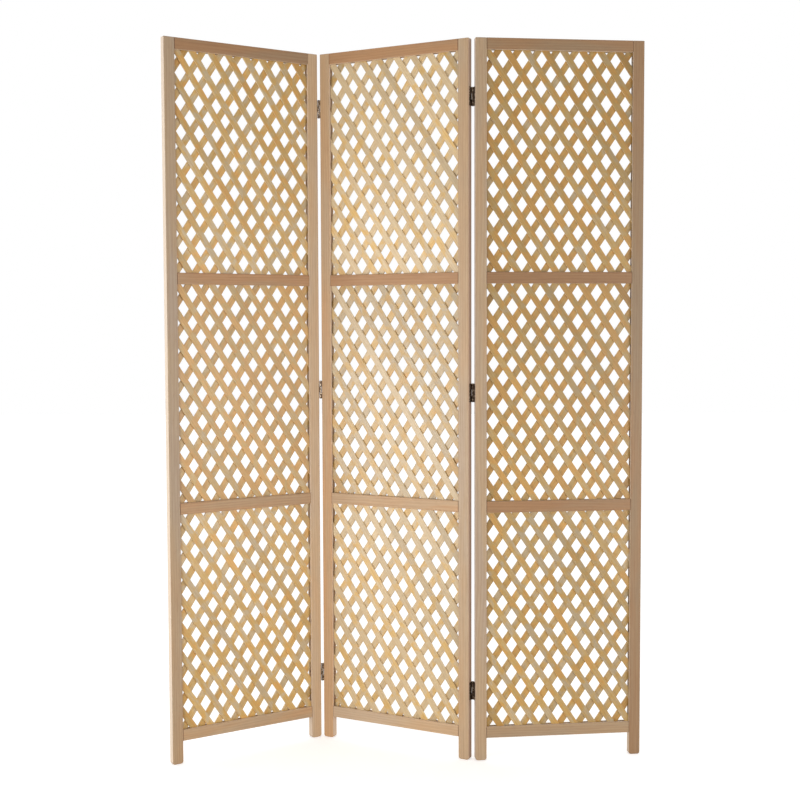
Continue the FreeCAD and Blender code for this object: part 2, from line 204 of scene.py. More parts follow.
def noise(tree, vector, stretch, detail=2.0, distortion=0.0):
    """A noise whose number of waves in a metre differs along, across and through."""
    stretched = add(tree, "VectorMath", {"operation": "MULTIPLY"}, {0: vector, 1: stretch})
    inputs = {"Vector": stretched.outputs[0], "Scale": 1.0, "Detail": detail, "Distortion": distortion}
    return add(tree, "TexNoise", None, inputs).outputs["Fac"]


def blend_colour(tree, factor, first, second, mode="MIX"):
    """A mix of two colours."""
    options = {"data_type": "RGBA", "blend_type": mode}
    return add(tree, "Mix", options, {0: factor, 6: first, 7: second}).outputs[2]


def new_group(name, inputs, outputs):
    """An empty node group with named sockets."""
    group = bpy.data.node_groups.new(name, "ShaderNodeTree")
    for label, kind in inputs.items():
        group.interface.new_socket(label, in_out="INPUT", socket_type=kind)
    for label, kind in outputs.items():
        group.interface.new_socket(label, in_out="OUTPUT", socket_type=kind)
    source = group.nodes.new("NodeGroupInput")
    sink = group.nodes.new("NodeGroupOutput")
    return group, source.outputs, sink.inputs


def place_group(tree, group, inputs):
    """A copy of a node group in a tree."""
    return add(tree, "Group", {"node_tree": group}, inputs).outputs


# %% [markdown]
# Plain-sawn softwood shows three things at three sizes: drifts of colour, the bands of its
# rings, and fine fibres with short dark pores. One group makes all three as masks, and each
# wood material colours them in its own way. The rings come from a sine of the distance
# across, bent by a slow noise, which gives the long flames that a saw leaves. Drift Scale
# makes the drifts shorter along, across and through, because a thin lath shows smaller
# patches than a stout stile, above all along its length.

# %% Node group: the grain of wood
# Waves in a metre along, across and through the piece.
drift_waves = (3.2, 26.0, 26.0)
bend_waves = (1.6, 18.0, 18.0)
fibre_waves = (14.0, 620.0, 620.0)
pore_waves = (70.0, 1500.0, 1500.0)
ring_waves = 150.0
ring_bend = 4.0
drift_limits = (0.3, 0.7)
pore_limits = (0.66, 0.78)

wood_grain, source, sink = new_group(
    "wood_grain",
    {"Grain": "NodeSocketVector", "Ring Bend": "NodeSocketFloat", "Drift Scale": "NodeSocketVector"},
    {"Drift": "NodeSocketFloat", "Ring": "NodeSocketFloat",
     "Fibre": "NodeSocketFloat", "Pore": "NodeSocketFloat"},
)
across = add(wood_grain, "SeparateXYZ", None, {0: source["Grain"]}).outputs[1]
scaled = add(wood_grain, "VectorMath", {"operation": "MULTIPLY"},
             {0: source["Grain"], 1: source["Drift Scale"]}).outputs[0]
drift = noise(wood_grain, scaled, drift_waves, detail=3.0, distortion=0.4)
bend = noise(wood_grain, source["Grain"], bend_waves)
bend_angle = calculate(wood_grain, "MULTIPLY", source["Ring Bend"], math.tau)
bent = calculate(wood_grain, "MULTIPLY", bend, bend_angle)
phase = calculate(wood_grain, "MULTIPLY_ADD", across, ring_waves * math.tau, bent)
fibre = noise(wood_grain, source["Grain"], fibre_waves, detail=3.0)
pore = noise(wood_grain, source["Grain"], pore_waves, detail=1.0)
grain_masks = {
    "Drift": spread(wood_grain, drift, *drift_limits),
    "Ring": calculate(wood_grain, "MULTIPLY_ADD", calculate(wood_grain, "SINE", phase), 0.5, 0.5),
    "Fibre": fibre,
    "Pore": spread(wood_grain, pore, *pore_limits),
}
for label, mask in grain_masks.items():
    wood_grain.links.new(mask, sink[label])
print("the grain group puts out", ", ".join(grain_masks))

# %% [markdown]
# Hands and sandpaper round an edge and leave it paler. A second mask picks the narrow sides
# of a piece, which are painted paler as painted light. The masks need no light and no camera:
# the section attribute tells how near a point is to an edge in both directions.

# %% Node group: worn edges and painted light on the sides
edge_reach = 0.12
patch_waves = (35.0, 90.0, 90.0)
patch_limits = (0.3, 0.6)
side_limits = (0.96, 0.995)

edge_wear_and_side_light, source, sink = new_group(
    "edge_wear_and_side_light",
    {"Section": "NodeSocketVector", "Reach": "NodeSocketFloat", "Patch": "NodeSocketVector"},
    {"Edge": "NodeSocketFloat", "Side": "NodeSocketFloat"},
)
sides = add(edge_wear_and_side_light, "SeparateXYZ", None, {0: source["Section"]}).outputs
start = calculate(edge_wear_and_side_light, "SUBTRACT", 1.0, source["Reach"])
distances = [calculate(edge_wear_and_side_light, "ABSOLUTE", side) for side in sides[:2]]
near = [spread(edge_wear_and_side_light, distance, start, 1.0) for distance in distances]
patchy = spread(edge_wear_and_side_light, noise(edge_wear_and_side_light, source["Patch"], patch_waves), *patch_limits)
worn = calculate(edge_wear_and_side_light, "MULTIPLY", calculate(edge_wear_and_side_light, "MULTIPLY", *near), patchy)
edge_wear_and_side_light.links.new(worn, sink["Edge"])
# The Side mask is painted light: it makes the narrow sides of a piece paler.
edge_wear_and_side_light.links.new(spread(edge_wear_and_side_light, distances[0], *side_limits), sink["Side"])


# %% [markdown]
# Both woods are one recipe with different colours. A ramp turns the warmth of a board into a
# hue, from greyish through beige to orange, and a slow noise drifts along that ramp, because
# one board is never one colour. Lightness scales the hue, the masks stain it, and a low bump
# lets the fibres catch the light. The sides of each piece are painted paler, as painted light.
# Dust darkens the ends of the rails where they meet the stiles, and the same colour paints shade
# beside the left stiles and on some outer sides. Below zero the dust value paints the wood pale:
# raw wood on the floors of the grooves, which also stands in for light in their shade, and
# painted light on the outer side of a stile. The stiles are nearly matt, and the laths were
# planed, so they have a little sheen.

# %% Wood materials
def srgb(red, green, blue):
    """A colour as a screen shows it, in the light values that a shader needs."""
    channels = []
    for channel in (red, green, blue):
        share = channel / 255
        channels.append(share / 12.92 if share <= 0.04045 else ((share + 0.055) / 1.055) ** 2.4)
    return (*channels, 1.0)


# The colour of dust at the joints, and of painted shade.
dirt_and_shade = srgb(150, 98, 62)
drift_shade = 0.05
streak_limits = (0.42, 0.7)
pore_share = 0.4
rough_range = 0.2
relief_strength = 0.3
relief_height = 0.3 * MM
wood_specular = 0.45


def make_wood(name, hues, stain, worn, pale_painted_light, shares, roughness):
    """A wood material. The shares say how strongly each mask tells in it."""
    material = bpy.data.materials.new(name)
    material.use_nodes = True
    tree = material.node_tree
    shader = tree.nodes["Principled BSDF"]
    grain = add(tree, "Attribute", {"attribute_name": "grain"}).outputs["Vector"]
    section = add(tree, "Attribute", {"attribute_name": "section"}).outputs["Vector"]
    board = add(tree, "Attribute", {"attribute_name": "board"}).outputs["Vector"]
    light, warm, dust_and_painted_light = add(tree, "SeparateXYZ", None, {0: board}).outputs
    masks = place_group(tree, wood_grain, {
        "Grain": grain, "Ring Bend": ring_bend, "Drift Scale": shares["drift_scale"]})
    wear = place_group(tree, edge_wear_and_side_light, {"Section": section, "Reach": edge_reach, "Patch": grain})

    drift = calculate(tree, "SUBTRACT", masks["Drift"], 0.5)
    warmth = calculate(tree, "MULTIPLY_ADD", drift, shares["drift"], warm)
    ramp = add(tree, "ValToRGB", None, {"Fac": warmth})
    for stop in range(len(hues) - 2):
        ramp.color_ramp.elements.new((stop + 1) / (len(hues) - 1))
    for element, hue in zip(ramp.color_ramp.elements, hues):
        element.color = hue
    lightness = calculate(tree, "MULTIPLY_ADD", drift, drift_shade, light)
    base = add(tree, "VectorMath", {"operation": "SCALE"}, {0: ramp.outputs["Color"], "Scale": lightness})
    coloured = base.outputs[0]
    layers = (
        (masks["Ring"], shares["ring"], stain, "MULTIPLY"),
        (spread(tree, masks["Fibre"], *streak_limits), shares["streak"], stain, "MULTIPLY"),
        (masks["Pore"], pore_share, stain, "MULTIPLY"),
        # The Side layer is painted light on the sides. Below zero the dust value paints raw wood and
        # painted light, and above zero it paints dust and painted shade.
        (wear["Side"], shares["side"], pale_painted_light, "MIX"),
        (dust_and_painted_light, -1.0, pale_painted_light, "MIX"),
        (wear["Edge"], shares["worn"], worn, "MIX"),
        (dust_and_painted_light, shares["dust_and_painted_light"], dirt_and_shade, "MULTIPLY"),
    )
    for mask, share, paint, mode in layers:
        amount = calculate(tree, "MULTIPLY", mask, share)
        coloured = blend_colour(tree, amount, coloured, paint, mode)
    tree.links.new(coloured, shader.inputs["Base Color"])

    rough = calculate(tree, "MULTIPLY_ADD", masks["Fibre"], rough_range, roughness - rough_range / 2)
    tree.links.new(rough, shader.inputs["Roughness"])
    relief = calculate(tree, "SUBTRACT", masks["Fibre"], masks["Pore"])
    bump = add(tree, "Bump", None,
               {"Strength": relief_strength, "Distance": relief_height, "Height": relief})
    tree.links.new(bump.outputs["Normal"], shader.inputs["Normal"])
    shader.inputs["Specular IOR Level"].default_value = wood_specular
    return material


frame_hues = [srgb(192, 169, 146), srgb(195, 168, 135), srgb(196, 161, 121), srgb(200, 151, 103)]
frame_wood = make_wood(
    "frame_wood", frame_hues,
    stain=srgb(190, 148, 108), worn=srgb(214, 190, 166), pale_painted_light=srgb(228, 210, 190),
    shares={"drift": 0.4, "drift_scale": (1.0, 1.0, 1.0), "ring": 0.15, "streak": 0.2,
            "side": 0.5, "worn": 0.2, "dust_and_painted_light": 0.7},
    roughness=0.5)
lattice_hues = [srgb(197, 175, 137), srgb(201, 169, 113), srgb(198, 163, 97), srgb(206, 159, 86)]
lattice_wood = make_wood(
    "lattice_wood", lattice_hues,
    stain=srgb(200, 152, 94), worn=srgb(236, 210, 170), pale_painted_light=srgb(250, 232, 200),
    shares={"drift": 1.2, "drift_scale": (10.0, 1.6, 1.6), "ring": 0.12, "streak": 0.2,
            "side": 0.4, "worn": 0.1, "dust_and_painted_light": 0.5},
    roughness=0.34)
print("two woods of", len(frame_hues), "hues each")

# %% [markdown]
# The hinges are small pressed steel ones with a dark plating. Where the knuckles rub and at
# the edges the steel shows through, so the plating is thin there: the same noise sets colour
# and roughness. Fine scratches run the length of the hinge.

# %% Metal materials
rub_waves = (330.0, 330.0, 240.0)
scratch_waves = (1800.0, 1800.0, 240.0)
bare_limits = (0.5, 0.6)
bare_share = 0.75
polish = 0.25
scratch_strength = 0.2
scratch_depth = 0.1 * MM


def make_metal(name, plated, bare, roughness):
    """A plated metal that is worn down to the bare steel in spots."""
    material = bpy.data.materials.new(name)
    material.use_nodes = True
    tree = material.node_tree
    shader = tree.nodes["Principled BSDF"]
    where = add(tree, "TexCoord").outputs["Object"]
    rubbed = noise(tree, where, rub_waves, detail=3.0)
    bare_amount = calculate(tree, "MULTIPLY", spread(tree, rubbed, *bare_limits), bare_share)
    colour = blend_colour(tree, bare_amount, plated, bare)
    tree.links.new(colour, shader.inputs["Base Color"])
    rough = calculate(tree, "MULTIPLY_ADD", rubbed, -polish, roughness)
    tree.links.new(rough, shader.inputs["Roughness"])
    scratch = noise(tree, where, scratch_waves)
    bump = add(tree, "Bump", None,
               {"Strength": scratch_strength, "Distance": scratch_depth, "Height": scratch})
    tree.links.new(bump.outputs["Normal"], shader.inputs["Normal"])
    shader.inputs["Metallic"].default_value = 1.0
    return material


hinge_metal = make_metal("hinge_metal", srgb(94, 78, 66), srgb(204, 186, 164), roughness=0.5)
fastener_metal = make_metal("fastener_metal", srgb(120, 108, 98), srgb(184, 174, 162), roughness=0.44)

# %% [markdown]
# Stiles, rails and laths are all bars, so they share a few moves. A cube is scaled into a
# block, some of its edges are rounded, it is sliced with planes, and the faces between two
# slices are pushed in. An edge is picked by where it lies and not by its number, because the
# numbers change whenever a bar is edited.

# %% Helpers for bars
tiny = 0.01 * MM


def new_bar(low, high):
    """A block between two corners."""
    bm = bmesh.new()
    bmesh.ops.create_cube(bm, size=1)
    bmesh.ops.scale(bm, vec=high - low, verts=bm.verts)
    bmesh.ops.translate(bm, vec=(low + high) / 2, verts=bm.verts)
    return bm


def pour(source, target):
    """Adds one bmesh to another, and frees it."""
    mesh = bpy.data.meshes.new("poured")
    source.to_mesh(mesh)
    source.free()
    target.from_mesh(mesh)
    bpy.data.meshes.remove(mesh)


def round_edges(bm, edges, radius, segments):
    """Rounds some edges with a bevel of a number of steps."""
    bmesh.ops.bevel(bm, geom=edges, offset=radius, offset_type="OFFSET", segments=segments,
                    profile=0.5, affect="EDGES", material=-1, clamp_overlap=True)


def edges_at(bm, axis, level):
    """The edges that lie in a plane across an axis."""
    return [edge for edge in bm.edges if all(abs(v.co[axis] - level) < tiny for v in edge.verts)]


def runs_across(edge):
    """Whether the two ends of an edge differ in X."""
    start, end = edge.verts
    return abs(start.co.x - end.co.x) > tiny


def slice_at(bm, axis, level):
    """Cuts a bmesh with a plane across an axis, and keeps both sides."""
    normal = Vector((0, 0, 0))
    normal[axis] = 1
    point = normal * level
    everything = bm.verts[:] + bm.edges[:] + bm.faces[:]
    bmesh.ops.bisect_plane(bm, geom=everything, plane_co=point, plane_no=normal, dist=tiny)


def push_in(bm, wanted, move):
    """Pushes in the faces that the wanted test picks, with walls round them."""
    faces = [face for face in bm.faces if wanted(face.calc_center_median())]
    made = bmesh.ops.extrude_face_region(bm, geom=faces)["geom"]
    moved = [item for item in made if isinstance(item, bmesh.types.BMVert)]
    bmesh.ops.delete(bm, geom=faces, context="FACES_ONLY")
    bmesh.ops.translate(bm, vec=move, verts=moved)


# %% [markdown]
# A stile is a long bar with a groove along one edge, and it stands on a rounded foot. The foot
# is rounded from side to side first, then one bevel runs round the outlines of both faces. The
# groove is cut by slicing the bar where its walls will be, and pushing in the strip of faces
# that lies between the cuts. It stops short of both ends, so it never shows from above.

# %% Build the stiles
stile_round = 1.8 * MM
foot_round = 6 * MM
groove_width = 8.2 * MM
groove_depth = 6 * MM
groove_stop = 7 * MM
stile_boards = {
    # lightness, warmth at the top and at the floor, and the painted light of the outer side:
    # above zero painted shade, below zero painted light
    "left_panel_left": (0.79, 0.2, 0.45, -0.5),
    "left_panel_right": (1.04, 0.42, 0.42, 0.3),
    "middle_panel_left": (0.99, 0.5, 0.95, 0.3),
    "middle_panel_right": (0.9, 0.36, 0.38, 0.8),
    "right_panel_left": (0.82, 0.45, 0.25, 0.3),
    "right_panel_right": (0.545, 0.6, 0.72, 0.0),
}


def make_stile(name, panel, side):
    """One upright of a panel, with its foot, its groove and its own timber."""
    node = f"{name}_panel_{side}_stile"
    low, high = own_box(node, panel)
    bm = new_bar(low, high)
    foot = [edge for edge in edges_at(bm, 2, low.z) if not runs_across(edge)]
    round_edges(bm, foot, foot_round, 5)
    top = [edge for edge in edges_at(bm, 2, high.z) if not runs_across(edge)]
    round_edges(bm, top, stile_round, 3)
    round_edges(bm, edges_at(bm, 1, low.y) + edges_at(bm, 1, high.y), stile_round, 3)

    outer, inner = (low.x, high.x) if side == "left" else (high.x, low.x)
    groove_low = own_box(f"{name}_panel_bottom_rail", panel)[0].z + groove_stop
    groove_high = high.z - groove_stop
    for level in (groove_low, groove_high):
        slice_at(bm, 2, level)
    for level in (-groove_width / 2, groove_width / 2):
        slice_at(bm, 1, level)

    def in_groove(c):
        """Whether a face lies in the strip between the four cuts."""
        on_strip = abs(c.x - inner) < tiny and abs(c.y) < groove_width / 2
        return on_strip and groove_low < c.z < groove_high

    push_in(bm, in_groove, Vector((-groove_depth if side == "left" else groove_depth, 0, 0)))
    halves = Vector((high.z - low.z, high.x - low.x, high.y - low.y)) / 2
    light, warm_top, warm_floor, outer_painted_light = stile_boards[f"{name}_panel_{side}"]

    def dust_and_painted_light(co):
        """The painted light of the outer side, and on the floor of the groove pale raw wood that also
        paints light in its shade.
        """
        if abs(co.x - outer) < tiny:
            return outer_painted_light
        return -1 if abs(abs(co.x - inner) - groove_depth) < tiny else 0

    mark_wood(bm, (low + high) / 2, Vector((0, 0, 1)), Vector((1, 0, 0)), Vector((0, 1, 0)), halves,
              light, (warm_top, warm_floor), dust_and_painted_light)
    finish_piece(f"{node}.wood", bm, panel, frame_wood, f"{name}_panel", node)


for name, panel in panels.items():
    for side in ("left", "right"):
        make_stile(name, panel, side)
print("six stiles with a groove", round(groove_width / MM, 1), "mm wide")

# %% [markdown]
# A rail is the same bar laid down. Its ends are square, because they close against the
# stiles, and it has a groove in each edge that meets a lattice. The tenons are left to the
# frame: nothing shows them.

# %% Build the rails
rail_grooves = {"bottom": (1,), "lower": (0, 1), "upper": (0, 1), "top": (0,)}
rail_boards = {
    # lightness and warmth
    "left": {"top": (0.62, 0.92), "upper": (0.75, 0.97), "lower": (0.81, 0.86), "bottom": (0.9, 0.6)},
    "middle": {"top": (0.76, 0.98), "upper": (0.73, 1.25), "lower": (0.925, 0.66), "bottom": (0.985, 0.4)},
    "right": {"top": (0.575, 0.8), "upper": (0.505, 1.4), "lower": (0.57, 0.93), "bottom": (0.69, 0.4)},
}
# The width of the grimy strip at each end of a rail.
joint_line = 1.2 * MM


def make_rail(name, panel, rail):
    """One rail, from stile to stile."""
    node = f"{name}_panel_{rail}_rail"
    low, high = own_box(node, panel)
    low.x = own_box(f"{name}_panel_left_stile", panel)[1].x
    high.x = own_box(f"{name}_panel_right_stile", panel)[0].x
    bm = new_bar(low, high)
    round_edges(bm, [edge for edge in bm.edges if runs_across(edge)], stile_round, 3)
    for level in (-groove_width / 2, groove_width / 2):
        slice_at(bm, 1, level)
    for level in (low.x + joint_line, high.x - joint_line):
        slice_at(bm, 0, level)
    for upper in rail_grooves[rail]:
        edge = high.z if upper else low.z
        push_in(bm, lambda c: abs(c.z - edge) < tiny and abs(c.y) < groove_width / 2,
                Vector((0, 0, -groove_depth if upper else groove_depth)))
    halves = Vector((high.x - low.x, high.z - low.z, high.y - low.y)) / 2

    def dust_and_painted_light(co):
        """Grime where the rail meets the stiles, and on the floors of its grooves pale raw wood that also
        paints light in their shade.
        """
        if min(co.x - low.x, high.x - co.x) < tiny:
            return 1
        to_floor = min(abs(co.z - low.z - groove_depth), abs(high.z - groove_depth - co.z))
        return -1 if to_floor < tiny else 0

    mark_wood(bm, (low + high) / 2, Vector((1, 0, 0)), Vector((0, 0, 1)), Vector((0, 1, 0)), halves,
              *rail_boards[name][rail], dust_and_painted_light)
    finish_piece(f"{node}.wood", bm, panel, frame_wood, f"{name}_panel", node)


for name, panel in panels.items():
    for rail in rail_grooves:
        make_rail(name, panel, rail)
print("twelve rails")

# %% [markdown]
# The lattice is what the eye goes to. On the real screen each lath was laid by hand, so the
# diamonds are never quite alike: laths differ by a millimetre in width and place, by a third
# of a degree in slope, and much more in colour. The numbers below say how much. The dice
# always start from the same seed, so every run lays the same screen.

# %% Choose the laths
sections = ("top", "middle", "bottom")
lath_width = 15.3 * MM
lath_pitch = 44.8 * MM
lath_rise = 67 * MM
laths_in_a_layer = 15
lath_seat = 5.7 * MM
lath_round = 0.5 * MM
slope = math.atan2(lath_rise, lath_pitch)
# How much laths differ from each other.
width_spread = 0.6 * MM
place_spread = 1.3 * MM
slope_spread = math.radians(0.3)
thinnest_share = 0.94
light_spread = 0.05
warmth_spread = 0.09
# How far the painted shadow of the left stile reaches over the laths.
stile_shadow_reach = {"left": 8 * MM, "middle": 0.5 * MM, "right": 4 * MM}
lattice_boards_and_light = {
    # lightness and warmth, partly timber and partly painted light: the middle panel is painted
    # paler and greyer for the sheen of the left lamp, and the right panel darker for the light
    # that falls off towards it
    "left": {"top": (1.02, 0.46), "middle": (0.88, 0.86), "bottom": (1.03, 0.36)},
    "middle": {"top": (1.19, -0.05), "middle": (0.93, 0.26), "bottom": (1.065, 0.0)},
    "right": {"top": (0.735, 0.7), "middle": (0.705, 0.82), "bottom": (0.79, 0.46)},
}
# From the left to the right of a panel the front laths are painted darker by this share, as
# painted light that falls off across the panel, and the back laths are painted paler, as
# painted light in the shade of the front laths.
lattice_light_fall = {"left": 0.02, "middle": 0.1, "right": 0.18}
back_light_paint = {"left": 1.04, "middle": 1.04, "right": 1.09}
# One front lath in every section is sawn from darker timber, and one of all is painted paler
# and greyer, as a painted streak of sheen.
dark_lath = 10
dark_share = 0.9
sheen_lath = ("middle", "middle", "front", 7)
sheen_share = 1.04
sheen_warmth = -0.5
# The short laths in the corners are painted darker and browner, as painted shade in the
# corners of the frame.
corner_shade_share = 0.84
corner_shade_warmth = 0.4
# How far the diamonds of a section sit above its middle.
lattice_lift = {
    "left": {"top": 1.0 * MM, "middle": -2.3 * MM, "bottom": -2.5 * MM},
    "middle": {"top": 0.0, "middle": -1.2 * MM, "bottom": -0.4 * MM},
    "right": {"top": 1.1 * MM, "middle": -0.4 * MM, "bottom": 4.4 * MM},
}
print("lath slope", round(math.degrees(slope), 1), "degrees")

# %% [markdown]
# Each lath is a bar of its own. It is made too long, turned to its slope, and cut to the size
# of the section by four planes. The ends that the planes leave open are filled. The laths that
# lean one way are one piece of the frame, so they are poured into one mesh.

# %% Build the laths
def make_lath(low, high, lift, number, lean, board, reach_of_stile_shadow):
    """One lath of a layer that fills the box from low to high."""
    width = lath_width + dice.uniform(-width_spread, width_spread)
    thickness = (high.y - low.y) * dice.uniform(thinnest_share, 1.0)
    reach = (high - low).length
    size = Vector((reach, thickness, width)) / 2
    bm = new_bar(-size, size)
    round_edges(bm, [edge for edge in bm.edges if runs_across(edge)], lath_round, 2)
    angle = lean * (slope + dice.uniform(-slope_spread, slope_spread))
    turn = Matrix.Rotation(-angle, 3, "Y")
    inner_face = high.y if lean < 0 else low.y
    centre = (low + high) / 2
    steps_aside = number - (laths_in_a_layer - 1) / 2
    centre.x += steps_aside * lath_pitch + dice.uniform(-place_spread, place_spread)
    centre.y = inner_face + lean * thickness / 2
    centre.z += lift
    bmesh.ops.rotate(bm, cent=(0, 0, 0), matrix=turn, verts=bm.verts)
    bmesh.ops.translate(bm, vec=centre, verts=bm.verts)
    for axis in (0, 2):
        for corner, outward in ((low, -1), (high, 1)):
            normal = Vector((0, 0, 0))
            normal[axis] = outward
            everything = bm.verts[:] + bm.edges[:] + bm.faces[:]
            bmesh.ops.bisect_plane(bm, geom=everything, plane_co=corner, plane_no=normal,
                                   dist=tiny, clear_outer=True)
            open_edges = [edge for edge in bm.edges if edge.is_boundary]
            if open_edges:
                bmesh.ops.edgeloop_fill(bm, edges=open_edges)

    def dust_and_painted_light(co):
        """Painted shadow of the left stile: one where a lath leaves it, and zero a little way from it."""
        return min(1, max(0, 1 - (co.x - low.x - lath_seat) / reach_of_stile_shadow))

    # A lath that misses its section has been cut away altogether.
    if bm.verts:
        for inset in (lath_seat, lath_seat + reach_of_stile_shadow):
            slice_at(bm, 0, low.x + inset)
        along = turn @ Vector((1, 0, 0))
        across = turn @ Vector((0, 0, 1))
        mark_wood(bm, centre, along, across, Vector((0, 1, 0)), size.xzy, *board, dust_and_painted_light)
    return bm


def make_layer(name, panel, section, layer):
    """All the laths of a section that lean one way, as one piece."""
    node = f"{name}_panel_{section}_lattice_{layer}"
    low, high = own_box(node, panel)
    lean = -1 if layer == "front" else 1
    layer_bm = bmesh.new()
    for number in range(laths_in_a_layer):
        light, warm = lattice_boards_and_light[name][section]
        light *= dice.gauss(1.0, light_spread)
        warm += dice.gauss(0, warmth_spread)
        if layer == "back":
            light *= back_light_paint[name]
        else:
            light *= 1 + lattice_light_fall[name] * (0.5 - number / (laths_in_a_layer - 1))
            light *= dark_share if number == dark_lath else 1
        if number in (0, laths_in_a_layer - 1):
            light *= corner_shade_share
            warm += corner_shade_warmth
        if (name, section, layer, number) == sheen_lath:
            light *= sheen_share
            warm = sheen_warmth
        lift = lattice_lift[name][section]
        lath = make_lath(low, high, lift, number, lean, (light, warm), stile_shadow_reach[name])
        pour(lath, layer_bm)
    finish_piece(f"{node}.laths", layer_bm, panel, lattice_wood, f"{name}_panel", node)


for name, panel in panels.items():
    for section in sections:
        for layer in ("front", "back"):
            make_layer(name, panel, section, layer)
print("eighteen layers of", laths_in_a_layer, "laths")

# %% [markdown]
# A butt hinge is two plates with rolled knuckles on one pin. The frame gives the pin's axis
# and the ends of each leaf. A knuckle is a ring: a small profile, spun once round the pin.
# The plates lie on the edges of the stiles, so a leaf is built in a frame that has the pin at
# its origin, X pointing at the wood and Y running along the plate.

# %% Build the hinges
hinge_levels = ("top", "middle", "bottom")
knuckle_radius = 2.7 * MM
bore_radius = 1.45 * MM
pin_radius = 1.4 * MM
pin_to_wood = 3.0 * MM
leaf_half = 22 * MM
leaf_thickness = 1.3 * MM
knuckle_play = 0.15 * MM
knuckles = 3
ring_steps = 32
rim_ease = 0.2 * MM
plate_corner = 1.2 * MM
plate_ease = 0.25 * MM
pin_ease = 0.55 * MM


def add_ring(bm, low, high, inner, outer, ease):
    """A ring about Z, with eased rims, as a profile that is spun once round."""
    profile = [(inner, low), (outer - ease, low), (outer, low + ease),
               (outer, high - ease), (outer - ease, high), (inner, high)]
    verts = [bm.verts.new((radius, 0, level)) for radius, level in profile]
    edges = [bm.edges.new((verts[i - 1], verts[i])) for i in range(len(verts))]
    bmesh.ops.spin(bm, geom=verts + edges, axis=(0, 0, 1), cent=(0, 0, 0), dvec=(0, 0, 0),
                   angle=math.tau, steps=ring_steps, use_merge=True, use_duplicate=False)


hinge_sides = {
    # joint, leaf: the panel that carries it, where the wood lies, where the plate runs
    ("left", "outer"): ("left", -1, 1),
    ("left", "inner"): ("middle", 1, 1),
    ("right", "inner"): ("middle", -1, -1),
    ("right", "outer"): ("right", 1, -1),
}
pins = {joint["name"].split("_")[0]: Vector(joint["pos_m"]) for joint in frame["joints"]}


def leaf_frame(joint, panel, wood_side, plate_side):
    """The matrix that carries a leaf's frame into the world."""
    turned = panel.to_3x3() @ Matrix.Diagonal((wood_side, plate_side, 1))
    return Matrix.Translation(pins[joint]) @ turned.to_4x4()


def make_leaf(joint, level, leaf):
    """One plate of a hinge, with its own share of the knuckles."""
    name, wood_side, plate_side = hinge_sides[(joint, leaf)]
    node = f"{joint}_{level}_hinge_{leaf}_leaf"
    matrix = leaf_frame(joint, panels[name], wood_side, plate_side)
    to_leaf = matrix.inverted()
    points = [to_leaf @ vertex.co for vertex in frame["nodes"][node].data.vertices]
    reach = max(point.y for point in points)
    low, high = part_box(f"{joint}_{level}_hinge_pin")
    middle = (low.z + high.z) / 2
    plate_start = knuckle_radius + 2 * knuckle_play
    plate_low = Vector((pin_to_wood - leaf_thickness, plate_start, middle - leaf_half))
    plate_high = Vector((pin_to_wood, reach, middle + leaf_half))
    bm = new_bar(plate_low, plate_high)
    corners = [edge for edge in edges_at(bm, 1, reach) if runs_across(edge)]
    round_edges(bm, corners, plate_corner, 4)
    round_edges(bm, edges_at(bm, 0, plate_low.x), plate_ease, 2)

    step = 2 * leaf_half / knuckles
    for number in range(knuckles):
        if (number % 2 == 0) != (leaf == "inner"):
            continue
        start = middle - leaf_half + number * step + knuckle_play
        end = start + step - 2 * knuckle_play
        add_ring(bm, start, end, bore_radius, knuckle_radius, rim_ease)
        tongue = new_bar(Vector((pin_to_wood - leaf_thickness, 0, start)),
                         Vector((pin_to_wood, plate_low.y + MM, end)))
        pour(tongue, bm)
    finish_piece(f"{node}.steel", bm, matrix, hinge_metal, f"{name}_panel", node)


def make_pin(joint, level):
    """The pin of a hinge, with rounded ends."""
    node = f"{joint}_{level}_hinge_pin"
    low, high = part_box(node)
    bm = bmesh.new()
    bmesh.ops.create_cone(bm, cap_ends=True, segments=ring_steps, radius1=pin_radius,
                          radius2=pin_radius, depth=high.z - low.z)
    half = (high.z - low.z) / 2
    round_edges(bm, edges_at(bm, 2, half) + edges_at(bm, 2, -half), pin_ease, 3)
    matrix = Matrix.Translation(pins[joint] + Vector((0, 0, (low.z + high.z) / 2)))
    finish_piece(f"{node}.steel", bm, matrix, fastener_metal, "middle_panel", node)


# %% [markdown]
# Each leaf is held by two countersunk screws. A screw is made upright, with its head at the
# origin, and is then laid down into its hole. The cross in the head is cut as the grooves of
# the stiles are: the top of the head is sliced, and the faces of the cross are pushed in.

# %% Build the screws
screw_inset = 9 * MM
screw_row = 8.5 * MM
head_radius = 2.6 * MM
head_depth = 1.2 * MM
head_proud = 0.08 * MM
shank_radius = 1.4 * MM
screw_length = 12 * MM
recess_reach = 1.5 * MM
recess_half = 0.35 * MM
recess_depth = 0.7 * MM
head_steps = 24
shank_steps = 16


def new_screw():
    """A countersunk screw along Z, with a cross recess in the top of its head at zero."""
    bm = bmesh.new()
    bmesh.ops.create_cone(bm, cap_ends=True, segments=head_steps, radius1=shank_radius,
                          radius2=head_radius, depth=head_depth)
    bmesh.ops.translate(bm, vec=(0, 0, -head_depth / 2), verts=bm.verts)
    for axis in (0, 1):
        for level in (-recess_reach, -recess_half, recess_half, recess_reach):
            slice_at(bm, axis, level)

    def in_cross(c):
        """Whether a face of the head's top lies in the cross."""
        near_side, far_side = sorted((abs(c.x), abs(c.y)))
        return c.z > -tiny and far_side < recess_reach and near_side < recess_half

    push_in(bm, in_cross, Vector((0, 0, -recess_depth)))
    shank = bmesh.new()
    bmesh.ops.create_cone(shank, cap_ends=True, segments=shank_steps, radius1=shank_radius / 3,
                          radius2=shank_radius, depth=screw_length - head_depth)
    bmesh.ops.translate(shank, vec=(0, 0, -(screw_length + head_depth) / 2), verts=shank.verts)
    pour(shank, bm)
    return bm


